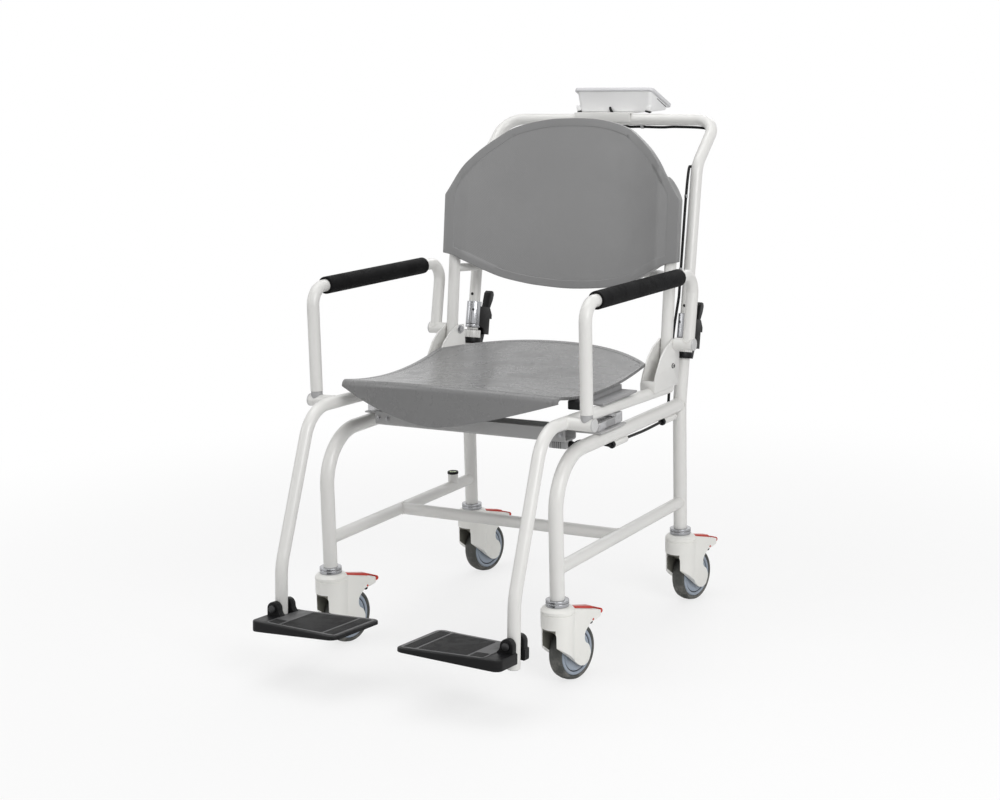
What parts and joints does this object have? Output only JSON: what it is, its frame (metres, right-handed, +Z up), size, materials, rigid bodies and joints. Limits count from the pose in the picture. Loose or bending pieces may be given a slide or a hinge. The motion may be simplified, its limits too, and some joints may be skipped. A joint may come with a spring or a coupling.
{
  "type": "chair scale",
  "caption": "Wheeled chair scale with fold-up footplates and armrests, braked swivel casters and an indicator on its folding push handle.",
  "frame": {"origin": "floor, under the middle of the whole chair's bounding box", "axes": "+Z up, -Y the way the sitter faces, +X to the sitter's left"},
  "size_m": [0.576, 1.0154, 0.9737],
  "materials": {
    "aluminium": "milled aluminium beam",
    "armrest": "off-white powder coat",
    "battery": "black battery holder",
    "black_plastic": "black moulded plastic",
    "board": "green circuit board",
    "bumper": "black rubber",
    "cable": "black cable jacket",
    "caster_white": "warm white nylon",
    "channel": "grey painted sheet steel",
    "chrome": "bright plated steel",
    "display": "sage green display window",
    "foam": "black closed-cell foam",
    "footplate": "charcoal moulded plastic",
    "frame": "off-white powder coat",
    "indicator": "light grey moulded plastic",
    "key": "blue-grey rubber",
    "pedal_red": "red nylon",
    "shell": "mid grey moulded plastic, fine texture",
    "tyre": "dark grey rubber"
  },
  "bodies": {
    "root": {"front_leg_left": "frame", "front_leg_right": "frame", "rear_post_left": "frame", "rear_post_right": "frame", "lower_frame": "frame", "cross_channel": "channel", "load_cell_left": "aluminium", "load_cell_right": "aluminium", "level_holder": "frame", "hinge_base_left": "black_plastic", "hinge_base_right": "black_plastic", "junction_connector": "black_plastic", "cable_lower": "cable", "cable_bend": "cable", "hanger_left": "frame", "hanger_right": "frame", "bumper_left": "bumper", "bumper_right": "bumper", "armrest_bracket_left": "frame", "armrest_bracket_right": "frame", "backrest_frame": "frame", "backrest_shell": "shell", "seat_shell": "shell", "footplate_bolt_left": "chrome", "footplate_bolt_right": "chrome"},
    "push_handle": {"handle_tube": "frame", "release_housing_left": "black_plastic", "release_housing_right": "black_plastic", "indicator_saddle": "frame", "indicator_base": "indicator", "indicator_lid": "indicator", "display_window": "display", "circuit_board": "board", "battery_pack": "battery", "cable_upper": "cable"},
    "armrest_left": {"armrest_left": "armrest", "armrest_grip_left": "foam"},
    "footplate_left": {"footplate_left": "footplate"},
    "release_lever_left": {"release_lever_left": "black_plastic"},
    "armrest_right": {"armrest_right": "armrest", "armrest_grip_right": "foam"},
    "footplate_right": {"footplate_right": "footplate"},
    "release_lever_right": {"release_lever_right": "black_plastic"},
    "key_1": {"key_1": "key"},
    "key_2": {"key_2": "key"},
    "key_3": {"key_3": "key"},
    "key_4": {"key_4": "key"},
    "key_5": {"key_5": "key"},
    "caster_front_left": {"caster_housing_front_left": "caster_white"},
    "wheel_front_left": {"caster_wheel_front_left": "tyre"},
    "pedal_front_left": {"caster_pedal_front_left": "pedal_red"},
    "caster_front_right": {"caster_housing_front_right": "caster_white"},
    "wheel_front_right": {"caster_wheel_front_right": "tyre"},
    "pedal_front_right": {"caster_pedal_front_right": "pedal_red"},
    "caster_rear_left": {"caster_housing_rear_left": "caster_white"},
    "wheel_rear_left": {"caster_wheel_rear_left": "tyre"},
    "pedal_rear_left": {"caster_pedal_rear_left": "pedal_red"},
    "caster_rear_right": {"caster_housing_rear_right": "caster_white"},
    "wheel_rear_right": {"caster_wheel_rear_right": "tyre"},
    "pedal_rear_right": {"caster_pedal_rear_right": "pedal_red"}
  },
  "joints": [
    {"name": "swivel_front_left", "type": "hinge", "parent": "root", "child": "caster_front_left", "pos_m": [-0.231, -0.26732, 0.13], "axis": [0, 0, 1], "continuous": true},
    {"name": "spin_front_left", "type": "hinge", "parent": "caster_front_left", "child": "wheel_front_left", "pos_m": [-0.22457, -0.23088, 0.05], "axis": [0.9848, -0.1736, 0], "continuous": true},
    {"name": "brake_front_left", "type": "hinge", "parent": "caster_front_left", "child": "pedal_front_left", "pos_m": [-0.22058, -0.20823, 0.1035], "axis": [-0.9848, 0.1736, 0], "range_deg": [0, 10]},
    {"name": "swivel_front_right", "type": "hinge", "parent": "root", "child": "caster_front_right", "pos_m": [0.231, -0.26732, 0.13], "axis": [0, 0, 1], "continuous": true},
    {"name": "spin_front_right", "type": "hinge", "parent": "caster_front_right", "child": "wheel_front_right", "pos_m": [0.23742, -0.23088, 0.05], "axis": [0.9848, -0.1736, 0], "continuous": true},
    {"name": "brake_front_right", "type": "hinge", "parent": "caster_front_right", "child": "pedal_front_right", "pos_m": [0.24142, -0.20823, 0.1035], "axis": [-0.9848, 0.1736, 0], "range_deg": [0, 10]},
    {"name": "swivel_rear_left", "type": "hinge", "parent": "root", "child": "caster_rear_left", "pos_m": [-0.231, 0.23468, 0.13], "axis": [0, 0, 1], "continuous": true},
    {"name": "spin_rear_left", "type": "hinge", "parent": "caster_rear_left", "child": "wheel_rear_left", "pos_m": [-0.22457, 0.27112, 0.05], "axis": [0.9848, -0.1736, 0], "continuous": true},
    {"name": "brake_rear_left", "type": "hinge", "parent": "caster_rear_left", "child": "pedal_rear_left", "pos_m": [-0.22058, 0.29377, 0.1035], "axis": [-0.9848, 0.1736, 0], "range_deg": [0, 10]},
    {"name": "swivel_rear_right", "type": "hinge", "parent": "root", "child": "caster_rear_right", "pos_m": [0.231, 0.23468, 0.13], "axis": [0, 0, 1], "continuous": true},
    {"name": "spin_rear_right", "type": "hinge", "parent": "caster_rear_right", "child": "wheel_rear_right", "pos_m": [0.23742, 0.27112, 0.05], "axis": [0.9848, -0.1736, 0], "continuous": true},
    {"name": "brake_rear_right", "type": "hinge", "parent": "caster_rear_right", "child": "pedal_rear_right", "pos_m": [0.24142, 0.29377, 0.1035], "axis": [-0.9848, 0.1736, 0], "range_deg": [0, 10]},
    {"name": "footplate_fold_left", "type": "hinge", "parent": "root", "child": "footplate_left", "pos_m": [-0.231, -0.41861, 0.1185], "axis": [0, -0.9975, 0.0707], "range_deg": [0, 90]},
    {"name": "armrest_lift_left", "type": "hinge", "parent": "root", "child": "armrest_left", "pos_m": [-0.272, 0.18368, 0.515], "axis": [-1, 0, 0], "range_deg": [0, 100]},
    {"name": "footplate_fold_right", "type": "hinge", "parent": "root", "child": "footplate_right", "pos_m": [0.231, -0.41861, 0.1185], "axis": [0, 0.9975, -0.0707], "range_deg": [0, 90]},
    {"name": "armrest_lift_right", "type": "hinge", "parent": "root", "child": "armrest_right", "pos_m": [0.272, 0.18368, 0.515], "axis": [-1, 0, 0], "range_deg": [0, 100]},
    {"name": "handle_fold", "type": "hinge", "parent": "root", "child": "push_handle", "pos_m": [0, 0.28586, 0.49679], "axis": [-1, 0, 0], "range_deg": [0, 88], "deforming": ["cable_bend"]},
    {"name": "release_left", "type": "hinge", "parent": "push_handle", "child": "release_lever_left", "pos_m": [-0.231, 0.30395, 0.5218], "axis": [-1, 0, 0], "range_deg": [0, 12], "stiffness_Nm_per_rad": 0.3},
    {"name": "release_right", "type": "hinge", "parent": "push_handle", "child": "release_lever_right", "pos_m": [0.231, 0.30395, 0.5218], "axis": [-1, 0, 0], "range_deg": [0, 12], "stiffness_Nm_per_rad": 0.3},
    {"name": "press_key_1", "type": "slide", "parent": "push_handle", "child": "key_1", "axis": [0, -0.3859, -0.9225], "range_m": [0, 0.0006], "stiffness_N_per_m": 400},
    {"name": "press_key_2", "type": "slide", "parent": "push_handle", "child": "key_2", "axis": [0, -0.3859, -0.9225], "range_m": [0, 0.0006], "stiffness_N_per_m": 400},
    {"name": "press_key_3", "type": "slide", "parent": "push_handle", "child": "key_3", "axis": [0, -0.3859, -0.9225], "range_m": [0, 0.0006], "stiffness_N_per_m": 400},
    {"name": "press_key_4", "type": "slide", "parent": "push_handle", "child": "key_4", "axis": [0, -0.3859, -0.9225], "range_m": [0, 0.0006], "stiffness_N_per_m": 400},
    {"name": "press_key_5", "type": "slide", "parent": "push_handle", "child": "key_5", "axis": [0, -0.3859, -0.9225], "range_m": [0, 0.0006], "stiffness_N_per_m": 400}
  ]
}
